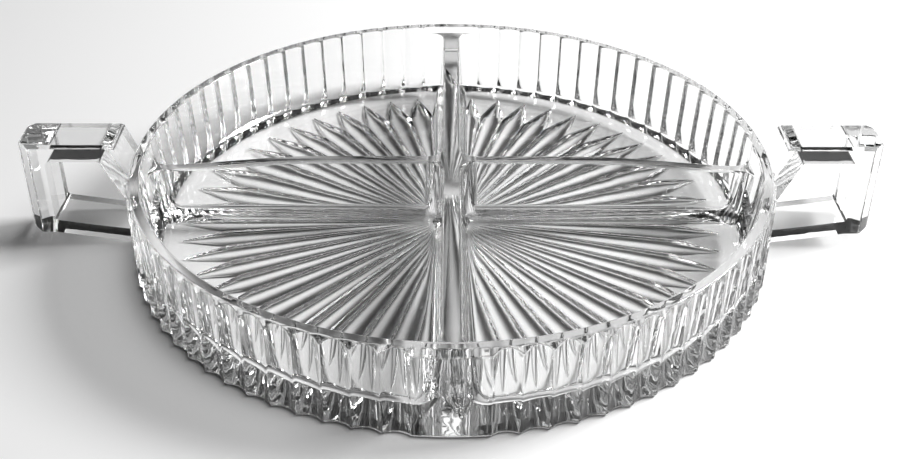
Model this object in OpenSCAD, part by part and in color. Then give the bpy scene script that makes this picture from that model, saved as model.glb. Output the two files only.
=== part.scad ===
// Round four-part relish tray of clear pressed glass, with open square handles.
// The origin is the middle of the foot, on the table. +X runs to the right handle, +Y to the back.

/* [Bowl] */
// Radius of the bowl over the ridges between its flutes
bowl_r = 114; // [105:1:125]
// Height of the rim above the table
rim_h = 32.6; // [31:0.2:36]
// Width of the flat top of the rim
rim_w = 3.4; // [2.6:0.1:4.4]
// How far the rim's outer edge stands inside the ridges
shoulder_w = 1.6; // [1.5:0.1:2]
// Height of the sloping shoulder below the rim
shoulder_h = 2.2; // [1.6:0.1:2.8]
// How much the inner wall leans inward from the rim to the floor
wall_draft = 3.2; // [2:0.1:5]

/* [Flutes] */
// Number of hollow flutes in one quarter of the wall
flutes = 17; // [14:1:19]
// Depth of a flute below its ridges
flute_depth = 1.4; // [1:0.05:1.4]
// Width of the blunt ridge between two flutes
ridge_w = 0.5; // [0.4:0.1:0.9]
// Half angle of the plain strip at each end of the dividers, in degrees
plain_angle = 5.8; // [5.4:0.1:7]

/* [Floor] */
// Height of the floor's upper face above the table
floor_top = 6.3; // [5.6:0.1:8]
// How far the floor's underside stands above the table
foot_recess = 0.8; // [0.5:0.1:1.2]
// Width of the flat ring that the tray stands on, out to the ridges
foot_w = 10; // [8:0.5:11]
// Radius of the round corner between the wall and the floor
corner_r = 7.5; // [6:0.1:8]

/* [Star] */
// Number of rays in the star under the floor
rays = 52; // [44:1:58]
// Distance from the middle to the pointed tips of the rays
ray_tip_r = 97.5; // [94:0.5:98]
// Distance from the middle out to which the rays touch each other
ray_wide_r = 80; // [76:0.5:86]
// Distance from the middle at which the rays start
ray_start_r = 5; // [4:0.5:8]
// Depth of a hollow ray where it is widest
ray_depth = 1.2; // [0.6:0.05:1.6]
// Direction of the first ray, in degrees to the right of the back
ray_turn = 5.2; // [0:0.1:6.9]

/* [Dividers] */
// Height of the dividers above the table, in the middle
divider_h = 29.9; // [27:0.1:30.2]
// Width of the long divider's top
long_top_w = 6.5; // [5:0.1:8]
// Width of the cross divider's top
cross_top_w = 4.4; // [3.6:0.1:6]
// How far the cross divider's top has dropped where it meets the wall
cross_drop = 3.9; // [1:0.1:5]
// Distance from the middle at which the cross divider's top starts to drop
cross_flat = 45; // [35:1:60]
// How far each side of a divider leans out, for each unit of height
divider_draft_share = 0.06; // [0.03:0.01:0.09]
// Radius of the round corner between a divider and the floor
divider_foot_r = 4; // [3:0.1:5]
// Radius of a divider's upper edges
divider_edge_r = 1; // [0.6:0.1:1.4]
// Radius, seen from above, of the corners at the ends of the cross divider
plan_r = 5.6; // [3:0.1:7]

/* [Handles] */
// Distance from the bowl's middle to the outside of a handle
handle_reach = 152.3; // [146:0.1:160]
// Width of a handle from front to back
handle_w = 18.2; // [15:0.1:20]
// Height of a handle's top above the table
handle_h = 39.4; // [37:0.2:44]
// Thickness of a handle's top arm
top_arm_t = 6.2; // [5:0.1:8]
// Thickness of a handle's upright outer bar
outer_bar_t = 9.6; // [8:0.1:11]
// Thickness of a handle's bottom arm
low_arm_t = 4.8; // [4:0.1:6]
// Height of the underside of the bottom arm at its outer end
low_arm_lift = 4; // [3:0.1:6]
// Thickness of the slanting strut, measured along the top of the handle
strut_t = 6.4; // [5:0.1:8]
// Gap between the bowl and the strut, at the top of the handle
strut_gap = 4.2; // [3:0.1:6]
// Height at which the strut's inner edge meets the bowl
strut_root_h = 29; // [25:0.1:30]
// Height at which the strut's outer edge meets the bowl
strut_foot_h = 13.4; // [11:0.1:18]
// How far the bevels of the outer bar run along the handle
bar_bevel_l = 4.2; // [3:0.1:7]
// Width of the narrow outer face left between those bevels
bar_face_w = 9; // [4:0.1:12]
// Bevel along the upper edges of a handle
handle_bevel = 1.1; // [0.5:0.1:1.5]

/* [Hidden] */

// Every cut runs past the glass by this much
overrun = 1;
// Number of straight lengths in a round corner and in a long curve
corner_steps = 6;
curve_steps = 10;
// Roundness of the revolved bodies and of one flute
round_steps = 180;
flute_steps = 60;
glass = [0.80, 0.86, 0.88, 0.45];
glass_dark = [0.66, 0.75, 0.78, 0.45];

rim_outer_r = bowl_r - shoulder_w;
rim_inner_r = rim_outer_r - rim_w;
rim_edge_r = rim_w / 6;
// The inner wall is a cone that leans in by wall_draft from the rim to the floor
wall_foot_r = rim_inner_r - wall_draft;
wall_lean = atan(wall_draft / (rim_h - floor_top));
// The round corner runs from the cone to the floor and ends at floor_r
corner_turn = 90 - wall_lean;
floor_r = wall_foot_r - corner_r * tan(corner_turn / 2);

// A flute is the edge of an upright cylinder that passes close to two ridges
flute_pitch = (90 - 2 * plain_angle) / flutes;
flute_half_angle = flute_pitch / 2 - asin(ridge_w / 2 / bowl_r);
flute_half_w = bowl_r * sin(flute_half_angle);
flute_sink = flute_depth - bowl_r * (1 - cos(flute_half_angle));
flute_r = (flute_sink * flute_sink + flute_half_w * flute_half_w) / (2 * flute_sink);

// A ray's section is an arc, which widens and deepens at a steady rate and then sweeps up to the tip
ray_half_w = tan(180 / rays) * ray_wide_r;
ray_arc_r = (ray_half_w * ray_half_w + ray_depth * ray_depth) / (2 * ray_depth);
ray_arc_angle = asin(ray_half_w / ray_arc_r);
ray_steps = 4;
ray_tip_share = 0.04;
// Beyond ray_wide_r each ray narrows to a leaf-shaped tip, a little rounder than a straight point
ray_leaf_power = 1.25;
// Neighbouring rays overlap by this much on each side, so that a sharp ridge is left between them
ray_overlap = 0.05;

divider_lean = atan(divider_draft_share);
// The dividers run into the thickness of the wall, which then cuts them to length
divider_end = rim_inner_r + rim_w / 2;

// Points along a round corner: its middle, radius, first angle and turn
function bend(middle, r, from, turn) =
    [for (i = [0 : corner_steps])
        middle + r * [cos(from + turn * i / corner_steps), sin(from + turn * i / corner_steps)]];

function mirrored(points) = [for (i = [len(points) - 1 : -1 : 0]) [-points[i][0], points[i][1]]];

// A share that eases from 0 to 1
function ease(share) = (1 - cos(180 * share)) / 2;

// Section of the wall with its foot, as radius and height
function wall_section() = concat(
    [[floor_r, foot_recess],
     [bowl_r - foot_w, 0],
     [bowl_r, 0],
     [bowl_r, rim_h - shoulder_h],
     [rim_outer_r, rim_h],
     [rim_inner_r + rim_edge_r, rim_h],
     [rim_inner_r - rim_edge_r * tan(wall_lean), rim_h - rim_edge_r]],
    bend([floor_r, floor_top + corner_r], corner_r, -wall_lean, -corner_turn));

module wall_ring() {
    rotate_extrude($fn = round_steps) polygon(wall_section());
}

module flute_cuts() {
    for (i = [0 : flutes - 1])
        rotate(plain_angle + flute_pitch * (i + 0.5))
            translate([bowl_r - flute_depth + flute_r, 0, -overrun])
                cylinder(r = flute_r, h = rim_h + 2 * overrun, $fn = flute_steps);
}

// One quarter of the wall, turned to its place
module wall_quarter(turn) {
    color(glass) rotate(turn) difference() {
        intersection() {
            wall_ring();
            translate([0, 0, -overrun]) cube([bowl_r + overrun, bowl_r + overrun, rim_h + 2 * overrun]);
        }
        flute_cuts();
    }
}

module wall_back_right() {
    wall_quarter(0);
}

module wall_back_left() {
    wall_quarter(90);
}

module wall_front_left() {
    wall_quarter(180);
}

module wall_front_right() {
    wall_quarter(270);
}

// Distances from the middle along a ray, each with the size of its section as a share of the widest
function ray_course() = concat(
    [[ray_start_r, ray_start_r / ray_wide_r]],
    [for (i = [0 : ray_steps])
        [ray_wide_r + (ray_tip_r - ray_wide_r) * i / ray_steps,
         max(ray_tip_share, 1 - pow(i / ray_steps, ray_leaf_power))]]);

// A hollow ray's section at a distance x from the middle, from its left skirt round to its right one
function ray_ring(x, share) = concat(
    [[x, ray_half_w * share + ray_overlap, -overrun]],
    [for (i = [-ray_steps : 2 : ray_steps]) let (turn = -ray_arc_angle * i / ray_steps)
        [x, ray_arc_r * sin(turn) * share + ray_overlap * sign(turn),
         (ray_depth - ray_arc_r + ray_arc_r * cos(turn)) * share]],
    [[x, -ray_half_w * share - ray_overlap, -overrun]]);

// One ray along +X, as the glass that it takes out of the floor's underside
module ray() {
    rings = [for (c = ray_course()) ray_ring(c[0], c[1])];
    count = len(rings[0]);
    last = len(rings) - 1;
    sides = [for (s = [0 : last - 1]) for (i = [0 : count - 1])
        let (j = (i + 1) % count)
        [s * count + j, s * count + i, (s + 1) * count + i, (s + 1) * count + j]];
    caps = [[for (i = [0 : count - 1]) i], [for (i = [count - 1 : -1 : 0]) last * count + i]];
    polyhedron(points = [for (r = rings) for (p = r) p], faces = concat(sides, caps));
}

module ray_floor() {
    color(glass_dark) translate([0, 0, foot_recess]) difference() {
        cylinder(r = floor_r, h = floor_top - foot_recess, $fn = round_steps);
        for (i = [0 : rays - 1]) rotate(90 - ray_turn - 360 * i / rays) ray();
    }
}

// Right half of a divider's section, from the middle of its top down to the floor
function divider_side(top_w, top_h) = concat(
    bend([top_w / 2 - divider_edge_r * tan((90 - divider_lean) / 2), top_h - divider_edge_r],
         divider_edge_r, 90, divider_lean - 90),
    bend([top_w / 2 + (top_h - floor_top - divider_foot_r * (1 - sin(divider_lean))) * tan(divider_lean)
              + divider_foot_r * cos(divider_lean), floor_top + divider_foot_r],
         divider_foot_r, 180 + divider_lean, 90 - divider_lean));

function divider_section(top_w, top_h) =
    concat(divider_side(top_w, top_h), mirrored(divider_side(top_w, top_h)));

// Half width of the long divider where its round corners meet the floor
long_foot_w = divider_side(long_top_w, divider_h)[2 * corner_steps + 1][0];

module long_bar() {
    rotate([90, 0, 0])
        linear_extrude(height = 2 * divider_end, center = true)
            polygon(divider_section(long_top_w, divider_h));
}

module long_divider() {
    color(glass) difference() {
        long_bar();
        wall_ring();
    }
}

// Height of the cross divider's top at a distance from the middle
function cross_top(x) = divider_h
    - (x > cross_flat ? cross_drop * ease((x - cross_flat) / (divider_end - cross_flat)) : 0);

// The cross divider widens in a round corner towards the long divider and towards the wall
flare_start = long_top_w / 2 + plan_r;
flare_end = wall_foot_r - plan_r;
flare_reach = plan_r * 0.95;
function flare(x) = let (into = min(flare_reach, max(0, flare_start - x, x - flare_end)))
    plan_r - sqrt(plan_r * plan_r - into * into);

// Distances from the middle at which the cross divider's section is drawn
cross_stations = concat(
    [long_top_w / 2 - divider_edge_r],
    [for (i = [corner_steps : -1 : 0]) flare_start - flare_reach * sin(90 * i / corner_steps)],
    [for (i = [0 : curve_steps]) cross_flat + (flare_end - cross_flat) * i / curve_steps],
    [for (i = [1 : corner_steps]) flare_end + flare_reach * sin(90 * i / corner_steps)],
    [divider_end]);

// Half of the cross divider, along +X, lofted through its sections
module cross_bar() {
    sections = [for (x = cross_stations)
        [for (p = divider_section(cross_top_w + 2 * flare(x), cross_top(x))) [x, p[0], p[1]]]];
    count = len(sections[0]);
    last = len(sections) - 1;
    sides = [for (s = [0 : last - 1]) for (i = [0 : count - 1])
        let (j = (i + 1) % count)
        [s * count + i, s * count + j, (s + 1) * count + j, (s + 1) * count + i]];
    caps = [[for (i = [count - 1 : -1 : 0]) i], [for (i = [0 : count - 1]) last * count + i]];
    polyhedron(points = [for (s = sections) for (p = s) p], faces = concat(sides, caps));
}

module cross_divider() {
    color(glass) difference() {
        cross_bar();
        long_bar();
        translate([0, 0, floor_top / 2]) cube([2 * long_foot_w, bowl_r, floor_top], center = true);
        wall_ring();
    }
}

module cross_divider_right() {
    cross_divider();
}

module cross_divider_left() {
    mirror([1, 0, 0]) cross_divider();
}

handle_root = bowl_r - handle_w / 2;
bar_inner = handle_reach - outer_bar_t;
strut_top = handle_h - top_arm_t;
// The strut's outer edge leans out from strut_foot_h on the bowl to this place under the top arm
strut_window_x = bowl_r + strut_gap + strut_t - handle_bevel;
root_slope = (handle_h - strut_root_h) / strut_gap;
handle_corner = handle_bevel * 2;

// Height of the bottom arm's underside at a distance from the middle: it springs from the foot of the bowl
function low_arm_z(x) = foot_recess
    + (low_arm_lift - foot_recess) * sin(90 * min(1, (x - bowl_r) / (bar_inner - bowl_r)));

low_arm_stations = [for (i = [0 : curve_steps]) bowl_r + (bar_inner - bowl_r) * i / curve_steps];

// Outline of a handle seen from the front
function handle_outline() = concat(
    [[handle_root, foot_recess]],
    [for (x = low_arm_stations) [x, low_arm_z(x)]],
    [[handle_reach - handle_corner, low_arm_lift],
     [handle_reach, low_arm_lift + handle_corner],
     [handle_reach, handle_h - handle_corner],
     [handle_reach - handle_corner, handle_h],
     [bowl_r + strut_gap, handle_h],
     [handle_root, handle_h - root_slope * (bowl_r + strut_gap - handle_root)]]);

// The finger opening seen from the front
function handle_window() = concat(
    [[handle_root, low_arm_t + foot_recess]],
    [for (x = low_arm_stations) [x, low_arm_z(x) + low_arm_t]],
    [[bar_inner, strut_top],
     [strut_window_x, strut_top],
     [bowl_r, strut_foot_h],
     [handle_root, strut_foot_h]]);

// A handle seen from above: a straight bar with two long bevels at its outer end
function handle_plan() = [
    [handle_root, -handle_w / 2],
    [handle_reach - bar_bevel_l, -handle_w / 2],
    [handle_reach, -bar_face_w / 2],
    [handle_reach, bar_face_w / 2],
    [handle_reach - bar_bevel_l, handle_w / 2],
    [handle_root, handle_w / 2]];

// A handle seen from its end: square, with bevelled upper edges, and wider than the plan below them
function handle_end() = [
    [-handle_w / 2 - overrun, 0],
    [handle_w / 2 + overrun, 0],
    [handle_w / 2 + overrun, handle_h - handle_bevel - overrun],
    [handle_w / 2 - handle_bevel - overrun, handle_h + overrun],
    [-handle_w / 2 + handle_bevel + overrun, handle_h + overrun],
    [-handle_w / 2 - overrun, handle_h - handle_bevel - overrun]];

module handle() {
    color(glass) difference() {
        intersection() {
            rotate([90, 0, 0])
                linear_extrude(height = handle_w + 2 * overrun, center = true) difference() {
                    polygon(handle_outline());
                    polygon(handle_window());
                }
            linear_extrude(height = handle_h + overrun) polygon(handle_plan());
            rotate([90, 0, 90])
                linear_extrude(height = handle_reach + overrun) polygon(handle_end());
        }
        translate([0, 0, -overrun]) cylinder(r = bowl_r, h = handle_h + 2 * overrun, $fn = round_steps);
    }
}

module handle_right() {
    handle();
}

module handle_left() {
    mirror([1, 0, 0]) handle();
}

ray_floor();
wall_front_right();
wall_back_right();
wall_back_left();
wall_front_left();
long_divider();
cross_divider_left();
cross_divider_right();
handle_left();
handle_right();
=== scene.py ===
"""Looks of a round four-part relish tray of clear pressed glass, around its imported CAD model."""

import math

import bmesh
import bpy
import numpy as np
from mathutils import Matrix, Vector


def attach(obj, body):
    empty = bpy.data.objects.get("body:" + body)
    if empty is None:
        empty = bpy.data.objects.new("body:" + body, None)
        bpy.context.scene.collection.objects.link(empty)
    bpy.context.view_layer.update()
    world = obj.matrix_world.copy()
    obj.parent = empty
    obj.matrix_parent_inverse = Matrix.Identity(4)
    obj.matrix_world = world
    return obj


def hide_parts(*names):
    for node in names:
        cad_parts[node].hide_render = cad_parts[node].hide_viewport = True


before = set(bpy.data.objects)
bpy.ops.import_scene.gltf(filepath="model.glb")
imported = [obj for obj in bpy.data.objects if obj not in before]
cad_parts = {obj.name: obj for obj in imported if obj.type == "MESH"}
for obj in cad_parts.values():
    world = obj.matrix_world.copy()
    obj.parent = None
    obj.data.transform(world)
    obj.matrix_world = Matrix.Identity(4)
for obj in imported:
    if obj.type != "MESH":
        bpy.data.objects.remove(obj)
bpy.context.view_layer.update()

MM = 0.001

# Sizes of the tray in millimetres and degrees, with the values of the part's source

# Radius of the bowl over the ridges between its flutes
BOWL_R = 114.0
RIM_H = 32.6
RIM_W = 3.4
# How far the rim's outer edge stands inside the ridges, and the height of the slope between them
SHOULDER_W = 1.6
SHOULDER_H = 2.2
# How much the inner wall leans inward from the rim to the floor
WALL_DRAFT = 3.2

# Number of flutes in a quarter of the wall, their depth and the blunt ridge between two of them
FLUTES = 17
FLUTE_DEPTH = 1.4
RIDGE_W = 0.5
# Half angle of the plain strip at each end of the dividers
PLAIN_ANGLE = 5.8

FLOOR_TOP = 6.3
FOOT_RECESS = 0.8
CORNER_R = 7.5

# The rays start at RAY_START_R, touch each other at RAY_WIDE_R and narrow from there to leaf-shaped tips
RAYS = 52
RAY_TIP_R = 97.5
RAY_WIDE_R = 80.0
RAY_START_R = 5.0
RAY_DEPTH = 1.2
RAY_TURN = 5.2
RAY_LEAF_POWER = 1.25

DIVIDER_H = 29.9
LONG_TOP_W = 6.5
CROSS_TOP_W = 4.4
# The cross divider is level out to CROSS_FLAT and has dropped by CROSS_DROP where it meets the wall
CROSS_DROP = 3.9
CROSS_FLAT = 45.0
# How far each side of a divider leans out, for each unit of height
DIVIDER_DRAFT = 0.06
DIVIDER_FOOT_R = 4.0
DIVIDER_EDGE_R = 1.0
# Radius, seen from above, of the corners between the walls of a compartment
PLAN_R = 5.6

HANDLE_REACH = 152.3
HANDLE_W = 18.2
HANDLE_H = 39.4
TOP_ARM_T = 6.2
OUTER_BAR_T = 9.6
LOW_ARM_LIFT = 4.0
# Thickness of the slanting strut and its gap to the bowl, both along the top of the handle
STRUT_T = 6.4
STRUT_GAP = 4.2
# Heights at which the strut's inner and outer edge meet the bowl
STRUT_ROOT_H = 29.0
STRUT_FOOT_H = 13.4
BAR_BEVEL_L = 4.2
BAR_FACE_W = 9.0
# Bevel along the upper edges of a handle
HANDLE_BEVEL = 1.1

# Sizes that only the looks have, or that differ a little from the source, in millimetres

# The underside curves softly down between these radii to the flat ring on which the tray stands
RECESS_START_R = 76.0
RECESS_END_R = 98.0
# Distance between the two points that each section has on the flat ring
RING_POINT_GAP = 5.0
# Radius of the soft edge round the bottom of the wall
FOOT_EDGE_R = 1.4
# Reach of the soft edges at the shoulder's foot, at the rim's outer edge and at its inner edge
SHOULDER_SOFT = 0.7
RIM_OUTER_SOFT = 0.45
RIM_INNER_SOFT = 0.7
# Largest shares of the shoulder's slope that the first two may take
SHOULDER_SHARE = 0.35
RIM_SHARE = 0.3
# How quickly a flute falls away from the softened ridge beside it: larger is sharper
RIDGE_SHARPNESS = 12
# Share of a ray's full width and depth that is left at its tip
RAY_TIP_SHARE = 0.03
# Thickness of a handle's bottom arm
LOW_ARM_T = 5.3
# The bottom arm rises from the table with this power of the distance from the bowl
LOW_ARM_POWER = 1.15
# How far the strut's outer edge stands back under the top arm
STRUT_TRIM = 0.9
# Radii of the handle's corners: most of them, the upper inner one and the one at the strut's top
HANDLE_CORNER_R = 1.6
HANDLE_GAP_CORNER_R = 1.5
STRUT_CORNER_R = 1.2
# Width of the small bevel that softens the handle's edges, and the smallest angle that it softens
HANDLE_SOFT = 0.4
HANDLE_SOFT_ANGLE = math.radians(32)
HANDLE_SOFT_STEPS = 2

# Bodies run into each other a little, so that no two faces lie on each other: neighbouring rays, and
# the foot of a divider in the floor
OVERLAP = 0.05
# Corner bodies and the dividers beside them
CORNER_OVERLAP = 0.03
# How far the tops of the middle corners lie below those of the dividers
CORNER_TOP_GAP = 0.002
# How far the corner bodies reach into the wall
CORNER_IN_WALL = 2.2
# How far dividers and corner bodies reach down into the floor
SUNK = 1.0
# How far inside the bowl's outside a handle starts
HANDLE_IN_WALL = 3.2
# Cutting bodies run past what they cut by this much or a multiple of it
OVERRUN = 1.0
# How far before its end the cross divider has the height that the corner bodies there take from it
CROSS_CORNER_BACK = 6.0

# Numbers of points or straight lengths in curves
PLAIN_STEPS = 8
FLUTE_STEPS = 18
RECESS_STEPS = 12
FOOT_STEPS = 6
CORNER_STEPS = 12
RAY_POINTS = 7
RAY_TIP_STEPS = 14
RAY_HALF_STEPS = 7
EDGE_STEPS = 7
DIVIDER_FOOT_STEPS = 10
LOW_ARM_POINTS = 14
LONG_POINTS = 33
CROSS_POINTS = 61
ROUND_STEPS = 5
# Shares of the way along a short curve or a straight side at which it has points
THIRDS = (0.33, 0.67, 1.0)
QUARTERS = (0.25, 0.5, 0.75, 1.0)
# An arc in an outline takes at most this share of the sides beside it, so that two arcs never meet
LARGEST_ROUND_SHARE = 0.45

RIM_OUTER_R = BOWL_R - SHOULDER_W
RIM_INNER_R = RIM_OUTER_R - RIM_W
WALL_FOOT_R = RIM_INNER_R - WALL_DRAFT
WALL_LEAN = math.atan(WALL_DRAFT / (RIM_H - FLOOR_TOP))
FLOOR_R = WALL_FOOT_R - CORNER_R * math.tan((math.pi / 2 - WALL_LEAN) / 2)
DIVIDER_END = RIM_INNER_R + RIM_W / 2
DIVIDER_LEAN = math.atan(DIVIDER_DRAFT)
# Height of a divider's rounded upper edge, and of its round foot above the floor
DIVIDER_EDGE_H = DIVIDER_EDGE_R * (1 - math.sin(DIVIDER_LEAN))
DIVIDER_FOOT_H = DIVIDER_FOOT_R * (1 - math.sin(DIVIDER_LEAN))
HANDLE_ROOT = BOWL_R - HANDLE_IN_WALL
BAR_INNER = HANDLE_REACH - OUTER_BAR_T

# Distances in metres for cleaning up meshes, and the angle below which neighbouring faces are one
WELD = 2e-6
HANDLE_WELD = 1e-6
FLAT_ANGLE = math.radians(0.5)
# Edges that turn by more than this are drawn sharp, and large faces count this much for the shading
SHARP_ANGLE = math.radians(28)
FACE_WEIGHT = 60

# Glass: colour, refractive index, slow waves left by the mould, and faint wear
GLASS_COLOR = (0.99, 0.992, 0.991, 1)
GLASS_IOR = 1.5
WAVE_SCALE, WAVE_DETAIL = 90, 2
WAVE_STRENGTH, WAVE_DEPTH = 0.25, 0.0004
WEAR_SCALE, WEAR_DETAIL = 35, 6
WEAR_START, WEAR_FULL, WEAR_ROUGHNESS = 0.45, 0.8, 0.05
# Light that a face passes on to the table, by how level it is: 0 for upright, 1 for level
LIGHT_THROUGH = ((0.0, 0.74), (0.6, 0.45), (0.9, 0.06), (0.95, 0.12), (0.98, 0.50), (0.995, 1.0))

# Table, in metres: it lies a hair below the tray and goes over into the backdrop between two distances
TABLE_SIZE = 6
TABLE_DROP = 0.0002
TABLE_COLOR = (0.9, 0.9, 0.9, 1)
TABLE_ROUGHNESS = 0.7
TABLE_SPECULAR = 0.1
BACKDROP_START, BACKDROP_FULL = 0.4, 0.9
# How white the backdrop is, and the sines of the angles above the horizon between which the glass sees
# it go over into the dark room
BACKDROP_WHITE = 0.9
BACKDROP_LOW, BACKDROP_HIGH = 0.12, 0.3

# Room: it is dark low down and goes over into a pale ceiling between these sines of the angle
CEILING_START, CEILING_FULL = 0.59, 0.77
ROOM_DARK, CEILING_PALE = 0.015, 0.55

# The one lamp: place and side in metres, and power in watts
LAMP_PLACE = (0.96, 0.28, 0.84)
LAMP_SIZE = 0.45
LAMP_POWER = 32

# Camera fitted to the photograph: distance in bowl radii, angles in degrees, the rest in pixels
PHOTO_W, PHOTO_H = 900, 459
CAM_DISTANCE, CAM_AZIMUTH, CAM_ELEVATION = 4.0507, 0.1621, 32.9739
CAM_PITCH, CAM_ROLL = 0.2005, 0.2226
CAM_FOCAL, CAM_CENTRE_X, CAM_CENTRE_Y = 1244.15, 451.149, 232.729
# Sensor width in millimetres, and the nearest distance in metres that the camera shows
SENSOR_W = 36
CAM_NEAR = 0.01

# How often light is followed through glass and off it, and the brightest that one such path may be
GLASS_BOUNCES = 24
GLOSSY_BOUNCES = 8
BRIGHTEST_INDIRECT = 20


# Meshes

def new_object(name, verts_mm, faces):
    """A mesh object from points in millimetres."""
    mesh = bpy.data.meshes.new(name)
    mesh.from_pydata([tuple(float(c) * MM for c in v) for v in verts_mm], [], faces)
    mesh.validate()
    mesh.update()
    bm = bmesh.new()
    bm.from_mesh(mesh)
    bmesh.ops.recalc_face_normals(bm, faces=bm.faces)
    bm.to_mesh(mesh)
    bm.free()
    obj = bpy.data.objects.new(name, mesh)
    bpy.context.scene.collection.objects.link(obj)
    return obj


def loft(name, rings):
    """A closed body through rings of as many points each."""
    count = len(rings[0])
    verts = [p for ring in rings for p in ring]
    faces = []
    for s in range(len(rings) - 1):
        a, b = s * count, (s + 1) * count
        faces += [(a + i, a + (i + 1) % count, b + (i + 1) % count, b + i) for i in range(count)]
    faces.append(tuple(range(count - 1, -1, -1)))
    faces.append(tuple(range((len(rings) - 1) * count, len(rings) * count)))
    return new_object(name, verts, faces)


def prism(name, outline, place, low, high):
    """Extrudes an outline; place turns its two coordinates and the height into a point."""
    return loft(name, [[place(u, v, w) for u, v in outline] for w in (low, high)])


def delete(obj):
    """Deletes an object with its mesh."""
    mesh = obj.data
    bpy.data.objects.remove(obj)
    bpy.data.meshes.remove(mesh)


def apply_modifiers(obj):
    """Replaces an object's mesh with the one that its modifiers give."""
    graph = bpy.context.evaluated_depsgraph_get()
    mesh = bpy.data.meshes.new_from_object(obj.evaluated_get(graph))
    obj.modifiers.clear()
    old = obj.data
    obj.data = mesh
    bpy.data.meshes.remove(old)


def combine(obj, tool, operation):
    """Adds tool to obj, cuts it away or keeps what both fill, and deletes tool."""
    modifier = obj.modifiers.new("boolean", "BOOLEAN")
    modifier.operation = operation
    modifier.solver = "MANIFOLD"
    modifier.object = tool
    apply_modifiers(obj)
    delete(tool)


def merged(name, objs):
    """Several bodies as one mesh."""
    bm = bmesh.new()
    for obj in objs:
        bm.from_mesh(obj.data)
    mesh = bpy.data.meshes.new(name)
    bm.to_mesh(mesh)
    bm.free()
    for obj in objs:
        delete(obj)
    whole = bpy.data.objects.new(name, mesh)
    bpy.context.scene.collection.objects.link(whole)
    return whole


def arc(middle, radius, start, turn, steps):
    """Points on an arc, with angles in radians."""
    return [(middle[0] + radius * math.cos(start + turn * i / steps),
             middle[1] + radius * math.sin(start + turn * i / steps)) for i in range(steps + 1)]


def soft_corner(start, corner, end, shares):
    """Points on the curve that leaves start toward corner and arrives at end."""
    return [tuple(start * (1 - t) ** 2 + 2 * corner * t * (1 - t) + end * t * t) for t in shares]


def rounded(points, radii):
    """A closed outline with each corner rounded by its own radius."""
    out = []
    n = len(points)
    for i, (p, r) in enumerate(zip(points, radii)):
        p = np.array(p, float)
        if r <= 0:
            out.append(tuple(p))
            continue
        a = np.array(points[i - 1], float) - p
        b = np.array(points[(i + 1) % n], float) - p
        la, lb = np.linalg.norm(a), np.linalg.norm(b)
        a, b = a / la, b / lb
        half = math.acos(max(-1, min(1, float(a @ b)))) / 2
        reach = min(r / math.tan(half), la * LARGEST_ROUND_SHARE, lb * LARGEST_ROUND_SHARE)
        r = reach * math.tan(half)
        middle = p + (a + b) / np.linalg.norm(a + b) * (r / math.sin(half))
        s, e = p + a * reach - middle, p + b * reach - middle
        t0, t1 = math.atan2(s[1], s[0]), math.atan2(e[1], e[0])
        turn = (t1 - t0 + math.pi) % (2 * math.pi) - math.pi
        out += arc(middle, r, t0, turn, ROUND_STEPS)
    return out


# Bowl: the fluted wall, the rim, the foot and the floor in one revolved mesh

def flute_outline():
    """Angles round the bowl, in radians, and its outer radius at each."""
    pitch = math.radians((90 - 2 * PLAIN_ANGLE) / FLUTES)
    half = pitch / 2 - math.asin(RIDGE_W / 2 / BOWL_R)
    half_w = BOWL_R * math.sin(half)
    sink = FLUTE_DEPTH - BOWL_R * (1 - math.cos(half))
    # a flute is the near side of a circle round a point outside the bowl
    flute_r = (sink * sink + half_w * half_w) / (2 * sink)
    away = BOWL_R - FLUTE_DEPTH + flute_r
    plain = math.radians(PLAIN_ANGLE)
    angles, radii = [], []
    for quarter in range(4):
        base = quarter * math.pi / 2
        for i in range(PLAIN_STEPS):
            angles.append(base - plain + (2 * plain) * i / PLAIN_STEPS)
            radii.append(BOWL_R)
        for k in range(FLUTES):
            for i in range(FLUTE_STEPS):
                off = -pitch / 2 + pitch * (0.5 - 0.5 * math.cos(math.pi * i / FLUTE_STEPS))
                radius = away * math.cos(off) - math.sqrt(flute_r * flute_r - (away * math.sin(off)) ** 2)
                falloff = math.log(math.exp(-RIDGE_SHARPNESS * (radius - BOWL_R)) + 1)
                soft = -falloff / RIDGE_SHARPNESS + math.log(2) / RIDGE_SHARPNESS
                angles.append(base + plain + pitch * k + pitch / 2 + off)
                radii.append(min(BOWL_R, BOWL_R + soft))
    return angles, radii


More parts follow.
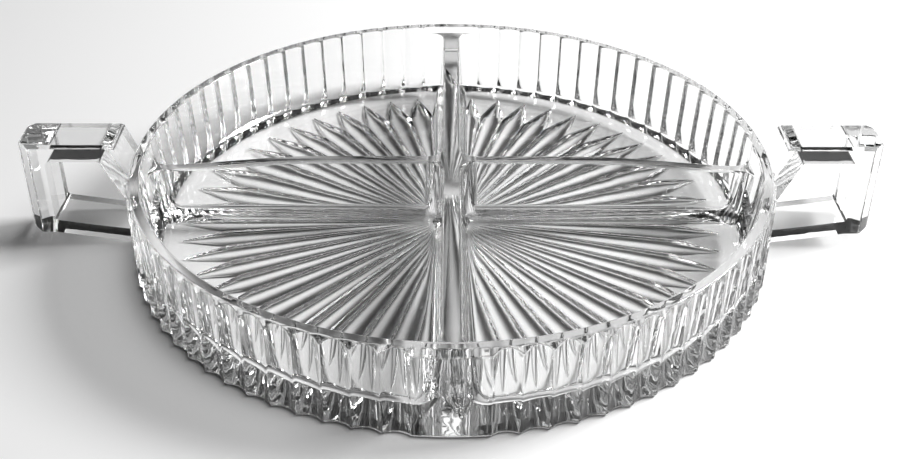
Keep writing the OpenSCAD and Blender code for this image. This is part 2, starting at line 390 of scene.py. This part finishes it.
def bowl_profile(outer):
    """Section of the bowl for one outer radius, from the underside round to the floor."""
    # the shoulder's slope meets the outside of the wall lower down where that stands further out
    meet = RIM_H - SHOULDER_H + (BOWL_R - outer) / SHOULDER_W * SHOULDER_H
    slope = np.array([RIM_OUTER_R - outer, RIM_H - meet])
    length = float(np.linalg.norm(slope))
    slope = slope / length
    low = min(SHOULDER_SOFT, SHOULDER_SHARE * length)
    high = min(RIM_OUTER_SOFT, RIM_SHARE * length)
    wall_top = meet - low

    # underside, flat ring and the soft edge of the foot
    pts = [(RECESS_START_R + (RECESS_END_R - RECESS_START_R) * i / RECESS_STEPS,
            FOOT_RECESS * (1 + math.cos(math.pi * i / RECESS_STEPS)) / 2)
           for i in range(RECESS_STEPS + 1)]
    pts += [(FLOOR_R, 0.0), (FLOOR_R + RING_POINT_GAP, 0.0)]
    pts += arc((outer - FOOT_EDGE_R, FOOT_EDGE_R), FOOT_EDGE_R, -math.pi / 2, math.pi / 2, FOOT_STEPS)

    # outside of the wall, and the shoulder
    pts += [(outer, FOOT_EDGE_R + (wall_top - FOOT_EDGE_R) * share) for share in QUARTERS]
    corner = np.array([outer, meet])
    pts += soft_corner(np.array([outer, wall_top]), corner, corner + slope * low, THIRDS)

    # rim
    corner = np.array([RIM_OUTER_R, RIM_H])
    start, end = corner - slope * high, corner - np.array([RIM_OUTER_SOFT, 0])
    pts += soft_corner(start, corner, end, (0.0,) + THIRDS)
    corner = np.array([RIM_INNER_R, RIM_H])
    down = np.array([-math.sin(WALL_LEAN), -math.cos(WALL_LEAN)])
    start, end = corner + np.array([RIM_INNER_SOFT, 0]), corner + down * RIM_INNER_SOFT
    pts += soft_corner(start, corner, end, (0.0,) + QUARTERS)

    # inside of the wall, and the round corner down to the floor
    bend = arc((FLOOR_R, FLOOR_TOP + CORNER_R), CORNER_R, -WALL_LEAN, WALL_LEAN - math.pi / 2, CORNER_STEPS)
    pts += [tuple(end + (np.array(bend[0]) - end) * share) for share in QUARTERS[:3]]
    return pts + bend


def make_bowl():
    """The bowl, without its star, dividers and handles."""
    angles, radii = flute_outline()
    n = len(angles)
    profiles = [bowl_profile(r) for r in radii]
    m = len(profiles[0])
    verts = []
    for a, profile in zip(angles, profiles):
        verts += [(r * math.cos(a), r * math.sin(a), z) for r, z in profile]
    faces = []
    for i in range(n):
        j = (i + 1) % n
        faces += [(i * m + k, j * m + k, j * m + k + 1, i * m + k + 1) for k in range(m - 1)]
    # the floor and its underside, as fans of triangles round the middle
    verts += [(0, 0, FOOT_RECESS), (0, 0, FLOOR_TOP)]
    faces += [(n * m, ((i + 1) % n) * m, i * m) for i in range(n)]
    faces += [(n * m + 1, i * m + m - 1, ((i + 1) % n) * m + m - 1) for i in range(n)]
    return new_object("tray_glass", verts, faces)


# Star under the floor

def ray_course():
    """Distances from the middle along a ray, with the share of its full width and depth at each."""
    course = [(x, x / RAY_WIDE_R) for x in np.linspace(RAY_START_R, RAY_WIDE_R, RAY_POINTS)]
    for i in range(1, RAY_TIP_STEPS + 1):
        t = i / RAY_TIP_STEPS
        share = max(RAY_TIP_SHARE, 1 - t ** RAY_LEAF_POWER)
        course.append((RAY_WIDE_R + (RAY_TIP_R - RAY_WIDE_R) * t, share))
    return course


def ray_section(share):
    """Section of a ray, an arc closed below the underside, as offsets to the side and heights."""
    half_w = RAY_WIDE_R * math.tan(math.pi / RAYS)
    arc_r = (half_w ** 2 + RAY_DEPTH ** 2) / (2 * RAY_DEPTH)
    half_turn = math.asin(half_w / arc_r)
    section = [(-half_w * share - OVERLAP, -OVERRUN)]
    for i in range(-RAY_HALF_STEPS, RAY_HALF_STEPS + 1):
        turn = half_turn * i / RAY_HALF_STEPS
        section.append((arc_r * math.sin(turn) * share + OVERLAP * np.sign(i),
                        (RAY_DEPTH - arc_r + arc_r * math.cos(turn)) * share))
    section.append((half_w * share + OVERLAP, -OVERRUN))
    return section


def make_rays(first):
    """Every other hollow ray of the star, as bodies to cut away from below."""
    sections = [(x, ray_section(share)) for x, share in ray_course()]
    bodies = []
    for k in range(first, RAYS, 2):
        a = math.radians(90 - RAY_TURN - 360 * k / RAYS)
        out, side = np.array([math.cos(a), math.sin(a)]), np.array([-math.sin(a), math.cos(a)])
        rings = []
        for x, section in sections:
            rings.append([(*(out * x + side * y), z + FOOT_RECESS) for y, z in section])
        bodies.append(loft("ray", rings))
    return merged("rays", bodies)


# Dividers

def straight_side(z, top_w, top):
    """Half width of a divider at a height, without its rounded edge and its round foot."""
    return top_w / 2 + (top - z) * DIVIDER_DRAFT


def side_at(z, top_w, top):
    """Half width of a divider at a height."""
    if z > top - DIVIDER_EDGE_H:
        edge_x = top_w / 2 - DIVIDER_EDGE_R * math.tan((math.pi / 2 - DIVIDER_LEAN) / 2)
        d = z - (top - DIVIDER_EDGE_R)
        return edge_x + math.sqrt(max(DIVIDER_EDGE_R ** 2 - d * d, 0))
    if z < FLOOR_TOP + DIVIDER_FOOT_H:
        foot_x = (top_w / 2 + (top - FLOOR_TOP - DIVIDER_FOOT_H) * DIVIDER_DRAFT
                  + DIVIDER_FOOT_R * math.cos(DIVIDER_LEAN))
        d = max(z, FLOOR_TOP) - (FLOOR_TOP + DIVIDER_FOOT_R)
        return foot_x - math.sqrt(max(DIVIDER_FOOT_R ** 2 - d * d, 0))
    return straight_side(z, top_w, top)


def divider_levels(top):
    """Heights at which a divider's side is drawn, from the top down to the floor."""
    levels = [top - DIVIDER_EDGE_R * (1 - math.cos(math.pi / 2 * i / EDGE_STEPS))
              for i in range(EDGE_STEPS + 1)]
    edge, foot = levels[-1], FLOOR_TOP + DIVIDER_FOOT_H
    levels += [edge + (foot - edge) * share for share in QUARTERS]
    for i in range(1, DIVIDER_FOOT_STEPS + 1):
        turn = DIVIDER_LEAN + (math.pi / 2 - DIVIDER_LEAN) * i / DIVIDER_FOOT_STEPS
        levels.append(FLOOR_TOP + DIVIDER_FOOT_R * (1 - math.sin(turn)))
    return levels


def divider_section(top_w, top):
    """Closed section of a divider, which runs down into the floor."""
    right = [(side_at(z, top_w, top), z) for z in divider_levels(top)]
    right.append((right[-1][0] + OVERLAP, FLOOR_TOP - SUNK))
    return right + [(-x, z) for x, z in reversed(right)]


def make_long_divider():
    """The divider from front to back."""
    section = divider_section(LONG_TOP_W, DIVIDER_H)
    stations = np.linspace(-DIVIDER_END, DIVIDER_END, LONG_POINTS)
    return loft("long_bar", [[(x, y, z) for x, z in section] for y in stations])


def cross_top(x):
    """Height of the cross divider's top at a distance to the side."""
    x = abs(x)
    if x <= CROSS_FLAT:
        return DIVIDER_H
    turn = math.pi * (x - CROSS_FLAT) / (DIVIDER_END - CROSS_FLAT)
    return DIVIDER_H - CROSS_DROP * (1 - math.cos(turn)) / 2


def make_cross_divider():
    """The divider from left to right, whose top drops toward the wall."""
    stations = np.linspace(-DIVIDER_END, DIVIDER_END, CROSS_POINTS)
    return loft("cross_bar", [[(x, y, z) for y, z in divider_section(CROSS_TOP_W, cross_top(x))]
                              for x in stations])


# Rounded corners, seen from above, of the compartments

def wall_inner(z):
    """Inner radius of the wall at a height."""
    if z < FLOOR_TOP + CORNER_R * (1 - math.sin(WALL_LEAN)):
        d = max(z, FLOOR_TOP) - (FLOOR_TOP + CORNER_R)
        return FLOOR_R + math.sqrt(max(CORNER_R ** 2 - d * d, 0))
    return RIM_INNER_R - (RIM_H - z) * math.tan(WALL_LEAN)


def corner_sides(top_w, top):
    """Heights down into the floor, with a divider's half width and the corner's radius at each."""
    sides = []
    for z in divider_levels(top) + [FLOOR_TOP - SUNK]:
        side = side_at(z, top_w, top)
        sides.append((z, side, PLAN_R - (side - straight_side(z, top_w, top))))
    return sides


def middle_corner(sx, sy):
    """The corner of one compartment where the two dividers cross."""
    rings = []
    for z, a, rho in corner_sides(LONG_TOP_W, DIVIDER_H):
        b = side_at(z, CROSS_TOP_W, DIVIDER_H)
        pts = [(0, 0), (a + rho, 0), (a + rho, b - CORNER_OVERLAP)]
        pts += arc((a + rho, b + rho), rho, -math.pi / 2, -math.pi / 2, CORNER_STEPS)
        pts += [(a - CORNER_OVERLAP, b + rho), (0, b + rho)]
        height = z - (CORNER_TOP_GAP if z == DIVIDER_H else 0)
        rings.append([(sx * x, sy * y, height) for x, y in pts])
    return loft("corner", rings)


def wall_corner(sx, sy, along_y, top_w, top):
    """The corner of one compartment where the long divider, along Y, or the cross divider meets the wall."""
    rings = []
    for z, a, rho in corner_sides(top_w, top):
        big = wall_inner(z)
        u = a + rho
        v = math.sqrt((big - rho) ** 2 - u * u)
        touch = math.atan2(v, u)
        pts = [(0, v), (a - CORNER_OVERLAP, v)]
        pts += arc((u, v), rho, math.pi, touch - math.pi, CORNER_STEPS)
        for reach in (big + CORNER_OVERLAP, big + CORNER_IN_WALL):
            pts.append((reach * math.cos(touch), reach * math.sin(touch)))
        pts.append((0, big + CORNER_IN_WALL))
        if not along_y:
            pts = [(y, x) for x, y in pts]
        rings.append([(sx * x, sy * y, z) for x, y in pts])
    return loft("corner", rings)


def make_corners():
    """The three rounded corners of each compartment."""
    cross_end = cross_top(DIVIDER_END - CROSS_CORNER_BACK)
    bodies = []
    for sx in (1, -1):
        for sy in (1, -1):
            bodies.append(middle_corner(sx, sy))
            bodies.append(wall_corner(sx, sy, True, LONG_TOP_W, DIVIDER_H))
            bodies.append(wall_corner(sx, sy, False, CROSS_TOP_W, cross_end))
    return bodies


# Handles

def low_arm_course():
    """Points along the underside of a handle's bottom arm, which springs from the table."""
    course = []
    for x in np.linspace(BOWL_R, BAR_INNER, LOW_ARM_POINTS):
        share = (x - BOWL_R) / (BAR_INNER - BOWL_R)
        course.append((x, LOW_ARM_LIFT * share ** LOW_ARM_POWER))
    return course


def handle_outline():
    """Outline of a handle seen from the front."""
    slope = (HANDLE_H - STRUT_ROOT_H) / STRUT_GAP
    points = [(HANDLE_ROOT, 0)] + low_arm_course()
    radii = [0] * len(points)
    points += [(HANDLE_REACH, LOW_ARM_LIFT), (HANDLE_REACH, HANDLE_H), (BOWL_R + STRUT_GAP, HANDLE_H),
               (HANDLE_ROOT, HANDLE_H - slope * (BOWL_R + STRUT_GAP - HANDLE_ROOT))]
    radii += [HANDLE_CORNER_R, HANDLE_CORNER_R, HANDLE_GAP_CORNER_R, 0]
    return rounded(points, radii)


def handle_window():
    """The finger opening seen from the front."""
    strut_top = HANDLE_H - TOP_ARM_T
    points = [(HANDLE_ROOT, LOW_ARM_T)] + [(x, z + LOW_ARM_T) for x, z in low_arm_course()]
    radii = [0] * (len(points) - 1) + [HANDLE_CORNER_R]
    points += [(BAR_INNER, strut_top), (BOWL_R + STRUT_GAP + STRUT_T - STRUT_TRIM, strut_top),
               (BOWL_R, STRUT_FOOT_H), (HANDLE_ROOT, STRUT_FOOT_H)]
    radii += [HANDLE_CORNER_R, STRUT_CORNER_R, 0, 0]
    return rounded(points, radii)


def handle_plan():
    """A handle seen from above: a straight bar with two long bevels at its outer end."""
    half = HANDLE_W / 2
    points = [(HANDLE_ROOT, -half), (HANDLE_REACH - BAR_BEVEL_L, -half), (HANDLE_REACH, -BAR_FACE_W / 2),
              (HANDLE_REACH, BAR_FACE_W / 2), (HANDLE_REACH - BAR_BEVEL_L, half), (HANDLE_ROOT, half)]
    return rounded(points, [0] + [HANDLE_CORNER_R] * 4 + [0])


def handle_end():
    """A handle seen from its end: bevelled along the upper edges, and wider than the plan below them."""
    side, top = HANDLE_W / 2 + OVERRUN, HANDLE_H + OVERRUN
    bevel_in, bevel_low = HANDLE_W / 2 - HANDLE_BEVEL - OVERRUN, top - HANDLE_BEVEL - 2 * OVERRUN
    return [(-side, -2 * OVERRUN), (side, -2 * OVERRUN), (side, bevel_low), (bevel_in, top),
            (-bevel_in, top), (-side, bevel_low)]


def make_handle(side):
    """The right handle for side 1, and the left one, its mirror image, for side -1."""
    half = HANDLE_W / 2
    handle = prism("handle", handle_outline(), lambda u, v, w: (u, w, v),
                   -half - 2 * OVERRUN, half + 2 * OVERRUN)
    hole = prism("hole", handle_window(), lambda u, v, w: (u, w, v),
                 -half - 4 * OVERRUN, half + 4 * OVERRUN)
    combine(handle, hole, "DIFFERENCE")
    plan = prism("plan", handle_plan(), lambda u, v, w: (u, v, w), -2 * OVERRUN, HANDLE_H + 2 * OVERRUN)
    combine(handle, plan, "INTERSECT")
    end = prism("end", handle_end(), lambda u, v, w: (w, u, v),
                HANDLE_ROOT - 5 * OVERRUN, HANDLE_REACH + 5 * OVERRUN)
    combine(handle, end, "INTERSECT")

    bm = bmesh.new()
    bm.from_mesh(handle.data)
    bmesh.ops.remove_doubles(bm, verts=bm.verts, dist=HANDLE_WELD)
    bmesh.ops.dissolve_limit(bm, angle_limit=FLAT_ANGLE, verts=bm.verts, edges=bm.edges)
    bm.to_mesh(handle.data)
    bm.free()
    bevel = handle.modifiers.new("bevel", "BEVEL")
    bevel.limit_method = "ANGLE"
    bevel.angle_limit = HANDLE_SOFT_ANGLE
    bevel.width = HANDLE_SOFT * MM
    bevel.segments = HANDLE_SOFT_STEPS
    apply_modifiers(handle)
    if side < 0:
        handle.data.transform(Matrix.Scale(-1, 4, (1, 0, 0)))
        handle.data.flip_normals()
    return handle


# The tray as one piece of glass

def make_tray():
    """The whole tray in one closed mesh."""
    whole = make_bowl()
    # neighbouring rays overlap, so they are cut in two turns
    for first in (0, 1):
        combine(whole, make_rays(first), "DIFFERENCE")
    combine(whole, make_long_divider(), "UNION")
    combine(whole, make_cross_divider(), "UNION")
    for corner in make_corners():
        combine(whole, corner, "UNION")
    for side in (1, -1):
        combine(whole, make_handle(side), "UNION")
    return whole


def shade(obj):
    """Welds the mesh, and shades it smooth apart from its sharp edges."""
    bm = bmesh.new()
    bm.from_mesh(obj.data)
    bmesh.ops.remove_doubles(bm, verts=bm.verts, dist=WELD)
    bmesh.ops.dissolve_degenerate(bm, dist=WELD, edges=bm.edges)
    for face in bm.faces:
        face.smooth = True
    for edge in bm.edges:
        edge.smooth = not (len(edge.link_faces) == 2 and edge.calc_face_angle(0) > SHARP_ANGLE)
    bm.to_mesh(obj.data)
    bm.free()
    weighted = obj.modifiers.new("weighted normals", "WEIGHTED_NORMAL")
    weighted.mode = "FACE_AREA"
    weighted.keep_sharp = True
    weighted.weight = FACE_WEIGHT


tray = make_tray()
shade(tray)

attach(tray, "root")
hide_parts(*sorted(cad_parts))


# Shader nodes, for the materials and the world

def add_node(tree, kind, values=None):
    """A new node, with values for its inputs by name."""
    node = tree.nodes.new(kind)
    for name, value in (values or {}).items():
        node.inputs[name].default_value = value
    return node


def math_of(tree, operation, *terms):
    """Result of an operation on one or two outputs."""
    node = add_node(tree, "ShaderNodeMath")
    node.operation = operation
    for term, socket in zip(terms, node.inputs):
        tree.links.new(term, socket)
    return node.outputs["Value"]


def mapped(tree, value, kind, start, full, low, high):
    """Result that goes from low to high while value goes from start to full."""
    node = add_node(tree, "ShaderNodeMapRange",
                    {"From Min": start, "From Max": full, "To Min": low, "To Max": high})
    node.interpolation_type = kind
    tree.links.new(value, node.inputs["Value"])
    return node.outputs["Result"]


def mixed(tree, share, first, second):
    """Shader that goes from first to second while share goes from 0 to 1."""
    node = add_node(tree, "ShaderNodeMixShader")
    for output, socket in zip((share, first, second), node.inputs):
        tree.links.new(output, socket)
    return node.outputs["Shader"]


def noise(tree, place, scale, detail):
    """Noise in the object's own space."""
    node = add_node(tree, "ShaderNodeTexNoise", {"Scale": scale, "Detail": detail})
    tree.links.new(place, node.inputs["Vector"])
    return node.outputs["Fac"]


# Glass

def light_through(tree):
    """Clear shader that passes light on by how level a face is, as LIGHT_THROUGH says."""
    normal = add_node(tree, "ShaderNodeSeparateXYZ")
    geometry = add_node(tree, "ShaderNodeNewGeometry")
    tree.links.new(geometry.outputs["Normal"], normal.inputs["Vector"])
    ramp = add_node(tree, "ShaderNodeValToRGB")
    steps = ramp.color_ramp.elements
    while len(steps) < len(LIGHT_THROUGH):
        steps.new(0.5)
    for step, (level, share) in zip(steps, LIGHT_THROUGH):
        step.position = level
        step.color = (share, share, share, 1)
    tree.links.new(math_of(tree, "ABSOLUTE", normal.outputs["Z"]), ramp.inputs["Fac"])
    clear = add_node(tree, "ShaderNodeBsdfTransparent")
    tree.links.new(ramp.outputs["Color"], clear.inputs["Color"])
    return clear.outputs["BSDF"]


def glass_material():
    """Clear pressed glass. The table is lit through it, and less through the faces that bend light aside."""
    mat = bpy.data.materials.new("clear_pressed_glass")
    mat.use_nodes = True
    tree = mat.node_tree
    glass = tree.nodes["Principled BSDF"]
    glass.inputs["Base Color"].default_value = GLASS_COLOR
    glass.inputs["Transmission Weight"].default_value = 1.0
    glass.inputs["IOR"].default_value = GLASS_IOR
    place = add_node(tree, "ShaderNodeTexCoord").outputs["Object"]
    bump = add_node(tree, "ShaderNodeBump", {"Strength": WAVE_STRENGTH, "Distance": WAVE_DEPTH})
    tree.links.new(noise(tree, place, WAVE_SCALE, WAVE_DETAIL), bump.inputs["Height"])
    tree.links.new(bump.outputs["Normal"], glass.inputs["Normal"])
    wear = noise(tree, place, WEAR_SCALE, WEAR_DETAIL)
    roughness = mapped(tree, wear, "LINEAR", WEAR_START, WEAR_FULL, 0.0, WEAR_ROUGHNESS)
    tree.links.new(roughness, glass.inputs["Roughness"])
    path = add_node(tree, "ShaderNodeLightPath")
    look = mixed(tree, path.outputs["Is Shadow Ray"], glass.outputs["BSDF"], light_through(tree))
    tree.links.new(look, tree.nodes["Material Output"].inputs["Surface"])
    return mat


tray.data.materials.clear()
tray.data.materials.append(glass_material())


# Table, room and lamp

def make_floor():
    """A pale table, which goes over into a plain pale backdrop where the lamp no longer reaches."""
    bpy.ops.mesh.primitive_plane_add(size=TABLE_SIZE)
    floor = bpy.context.object
    floor.name = "floor"
    floor.location = (0, 0, -TABLE_DROP)
    mat = bpy.data.materials.new("pale_table")
    mat.use_nodes = True
    tree = mat.node_tree
    table = tree.nodes["Principled BSDF"]
    table.inputs["Base Color"].default_value = TABLE_COLOR
    table.inputs["Roughness"].default_value = TABLE_ROUGHNESS
    table.inputs["Specular IOR Level"].default_value = TABLE_SPECULAR
    distance = add_node(tree, "ShaderNodeVectorMath")
    distance.operation = "LENGTH"
    place = add_node(tree, "ShaderNodeTexCoord").outputs["Object"]
    tree.links.new(place, distance.inputs[0])
    far = mapped(tree, distance.outputs["Value"], "SMOOTHSTEP", BACKDROP_START, BACKDROP_FULL, 0.0, 1.0)
    path = add_node(tree, "ShaderNodeLightPath").outputs
    seen = math_of(tree, "MAXIMUM", path["Is Glossy Ray"], path["Is Transmission Ray"])
    seen = math_of(tree, "MAXIMUM", path["Is Camera Ray"], seen)
    share = math_of(tree, "MULTIPLY", far, seen)
    pale = add_node(tree, "ShaderNodeEmission", {"Strength": BACKDROP_WHITE})
    look = mixed(tree, share, table.outputs["BSDF"], pale.outputs["Emission"])
    tree.links.new(look, tree.nodes["Material Output"].inputs["Surface"])
    floor.data.materials.append(mat)


def make_world():
    """A dark room with a pale ceiling, and a pale backdrop for the camera and, low down, for the glass."""
    world = bpy.data.worlds.new("studio")
    bpy.context.scene.world = world
    world.use_nodes = True
    tree = world.node_tree
    up = add_node(tree, "ShaderNodeSeparateXYZ")
    direction = add_node(tree, "ShaderNodeTexCoord").outputs["Generated"]
    tree.links.new(direction, up.inputs["Vector"])
    height = up.outputs["Z"]
    room = tree.nodes["Background"]
    strength = mapped(tree, height, "SMOOTHSTEP", CEILING_START, CEILING_FULL, ROOM_DARK, CEILING_PALE)
    tree.links.new(strength, room.inputs["Strength"])
    pale = add_node(tree, "ShaderNodeBackground", {"Strength": BACKDROP_WHITE})
    low = mapped(tree, height, "SMOOTHSTEP", BACKDROP_LOW, BACKDROP_HIGH, 1.0, 0.0)
    path = add_node(tree, "ShaderNodeLightPath").outputs
    through = math_of(tree, "MAXIMUM", path["Is Glossy Ray"], path["Is Transmission Ray"])
    through = math_of(tree, "MULTIPLY", through, low)
    seen = math_of(tree, "MAXIMUM", path["Is Camera Ray"], through)
    look = mixed(tree, seen, room.outputs["Background"], pale.outputs["Background"])
    tree.links.new(look, tree.nodes["World Output"].inputs["Surface"])


def make_lamp():
    """One soft lamp to the right of the tray and a little behind it."""
    data = bpy.data.lights.new("key", "AREA")
    data.energy = LAMP_POWER
    data.size = LAMP_SIZE
    lamp = bpy.data.objects.new("key", data)
    lamp.location = LAMP_PLACE
    lamp.rotation_euler = (-Vector(LAMP_PLACE)).to_track_quat("-Z", "Y").to_euler()
    bpy.context.scene.collection.objects.link(lamp)


make_floor()
make_lamp()
make_world()


# Camera

def make_camera():
    """The camera at the photograph's angle."""
    data = bpy.data.cameras.new("camera")
    data.sensor_width = SENSOR_W
    data.lens = CAM_FOCAL / PHOTO_W * SENSOR_W
    data.shift_x = 0.5 - CAM_CENTRE_X / PHOTO_W
    data.shift_y = CAM_CENTRE_Y / PHOTO_W - PHOTO_H / 2 / PHOTO_W
    data.clip_start = CAM_NEAR
    cam = bpy.data.objects.new("camera", data)
    bpy.context.scene.collection.objects.link(cam)
    elevation = math.radians(CAM_ELEVATION)
    distance = CAM_DISTANCE * BOWL_R * MM
    turn = Matrix.Rotation(-math.radians(CAM_AZIMUTH), 4, "Z")
    place = Matrix.Translation((0, -distance * math.cos(elevation), distance * math.sin(elevation)))
    tilt = Matrix.Rotation(math.pi / 2 - elevation - math.radians(CAM_PITCH), 4, "X")
    roll = Matrix.Rotation(math.radians(CAM_ROLL), 4, "Z")
    cam.matrix_world = turn @ place @ tilt @ roll
    bpy.context.scene.camera = cam


make_camera()

scene = bpy.context.scene
scene.view_settings.view_transform = "Standard"
scene.cycles.max_bounces = GLASS_BOUNCES
scene.cycles.transmission_bounces = GLASS_BOUNCES
scene.cycles.glossy_bounces = GLOSSY_BOUNCES
scene.cycles.sample_clamp_indirect = BRIGHTEST_INDIRECT
scene.cycles.caustics_refractive = False
scene.cycles.caustics_reflective = False
